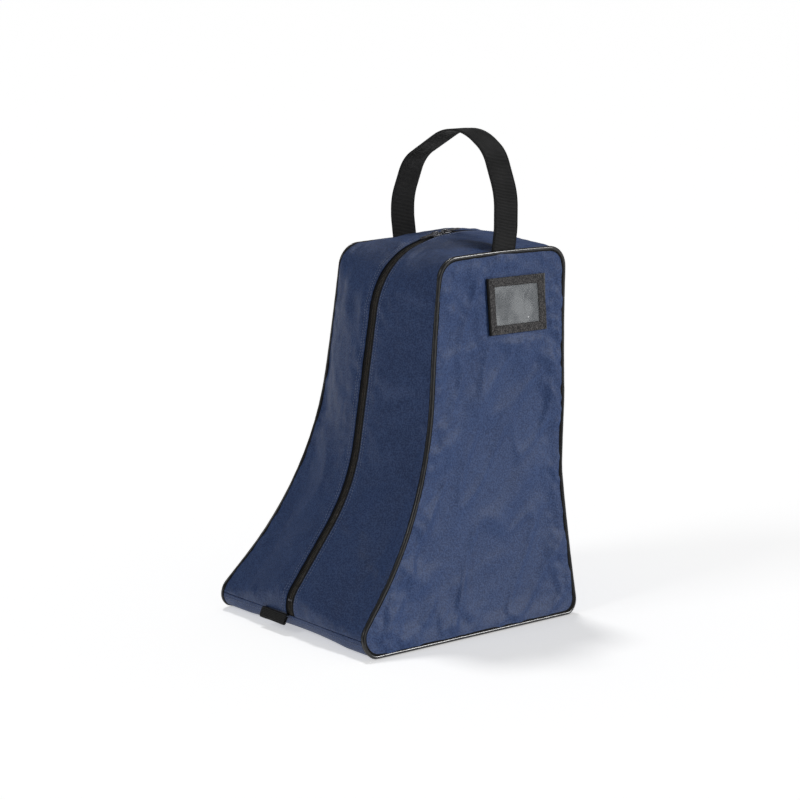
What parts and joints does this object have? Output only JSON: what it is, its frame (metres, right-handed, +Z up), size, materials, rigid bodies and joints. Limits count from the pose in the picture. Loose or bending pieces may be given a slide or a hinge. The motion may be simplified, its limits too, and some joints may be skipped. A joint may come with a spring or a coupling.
{
  "type": "zip-up shoe and boot bag",
  "caption": "Tall boot-shaped cloth bag with a full-length zip from toe to crown, a webbing carry handle, piped sides and a clear card holder.",
  "frame": {"origin": "on the floor, under the middle of the bag's bounding box", "axes": "+Z up, -Y towards the toe and the zip, +X towards the side with the card holder"},
  "size_m": [0.2652, 0.3209, 0.5283],
  "materials": {
    "navy_cloth": "fine woven polyester, soft sheen",
    "zip_tape": "matt knitted tape",
    "zip_coil": "satin nylon coil",
    "slider_metal": "dark polished plating",
    "piping": "gloss vinyl",
    "woven_binding": "ribbed woven tape",
    "webbing": "ribbed polypropylene webbing",
    "holder_backing": "plain grey cloth",
    "clear_film": "clear gloss film",
    "board": "matt sheet"
  },
  "bodies": {
    "bag": {"base_panel": "navy_cloth", "back_panel": "navy_cloth", "right_gusset": "navy_cloth", "left_gusset": "navy_cloth", "right_side_panel": "navy_cloth", "left_side_panel": "navy_cloth", "right_zip_tape": "zip_tape", "left_zip_tape": "zip_tape", "right_zip_coil": "zip_coil", "left_zip_coil": "zip_coil", "zip_stops": "slider_metal", "right_piping": "piping", "left_piping": "piping", "right_seam_binding": "woven_binding", "left_seam_binding": "woven_binding", "toe_seam_binding": "woven_binding", "back_seam_binding": "woven_binding", "base_board": "board", "right_handle_end": "webbing", "left_handle_end": "webbing", "card_holder_back": "holder_backing", "card_holder_window": "clear_film", "card_holder_binding": "woven_binding", "toe_tab_root": "webbing"},
    "front_slider": {"front_slider": "slider_metal"},
    "front_puller": {"front_puller": "slider_metal"},
    "rear_slider": {"rear_slider": "slider_metal"},
    "rear_puller": {"rear_puller": "slider_metal"},
    "handle": {"handle": "webbing"},
    "toe_tab": {"toe_tab": "webbing"}
  },
  "joints": [
    {"name": "front_slider_travel", "type": "hinge", "parent": "bag", "child": "front_slider", "pos_m": [0, 0.08141, 0.21561], "axis": [1, 0, 0], "range_deg": [0, 6]},
    {"name": "rear_slider_travel", "type": "hinge", "parent": "bag", "child": "rear_slider", "pos_m": [0, 0.08141, 0.21561], "axis": [1, 0, 0], "range_deg": [-19, 0]},
    {"name": "front_puller_flip", "type": "hinge", "parent": "front_slider", "child": "front_puller", "pos_m": [0, 0.0467, 0.4145], "axis": [1, 0, 0], "range_deg": [-120, 0]},
    {"name": "rear_puller_flip", "type": "hinge", "parent": "rear_slider", "child": "rear_puller", "pos_m": [0, 0.0603, 0.4164], "axis": [1, 0, 0], "range_deg": [0, 120]},
    {"name": "handle_swing", "type": "hinge", "parent": "bag", "child": "handle", "pos_m": [0, 0.0719, 0.4215], "axis": [1, 0, 0], "range_deg": [-75, 75]},
    {"name": "toe_tab_swing", "type": "hinge", "parent": "bag", "child": "toe_tab", "pos_m": [0, -0.1549, 0.0195], "axis": [1, 0, 0], "range_deg": [-80, 20]}
  ]
}
